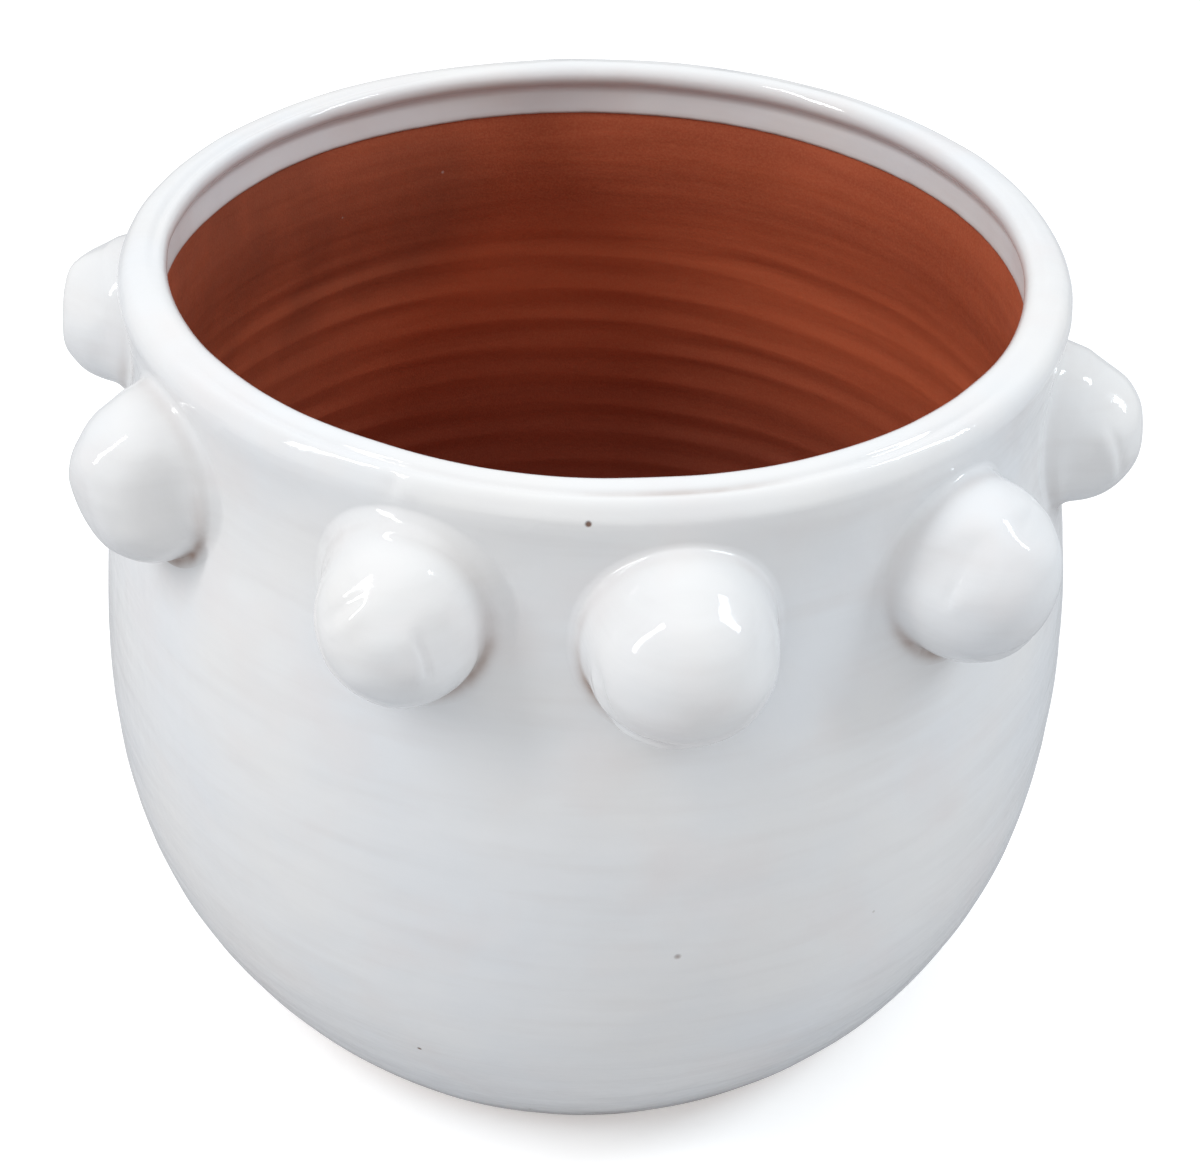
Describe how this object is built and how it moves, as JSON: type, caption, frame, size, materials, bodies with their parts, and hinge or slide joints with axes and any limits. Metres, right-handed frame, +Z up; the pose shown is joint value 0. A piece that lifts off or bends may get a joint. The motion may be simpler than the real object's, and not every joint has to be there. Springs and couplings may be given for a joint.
{
  "type": "terracotta planter",
  "caption": "Round-bellied terracotta planter with a thick rounded rim, white gloss glaze outside, a belt of pressed-on clay knobs and a drain hole.",
  "frame": {"origin": "centre of the drain hole in the plane of the foot", "axes": "+Z up the throwing axis, -Y towards the front, +X to the right seen from the front"},
  "size_m": [0.3767, 0.3799, 0.3],
  "materials": {
    "clay": "matt unglazed red earthenware with throwing rings",
    "glaze": "glossy opaque white glaze over red clay"
  },
  "bodies": {
    "root": {"clay_body": "clay", "glaze_coat": "glaze", "knob_01": "glaze", "knob_02": "glaze", "knob_03": "glaze", "knob_04": "glaze", "knob_05": "glaze", "knob_06": "glaze", "knob_07": "glaze", "knob_08": "glaze", "knob_09": "glaze", "knob_10": "glaze"}
  },
  "joints": []
}
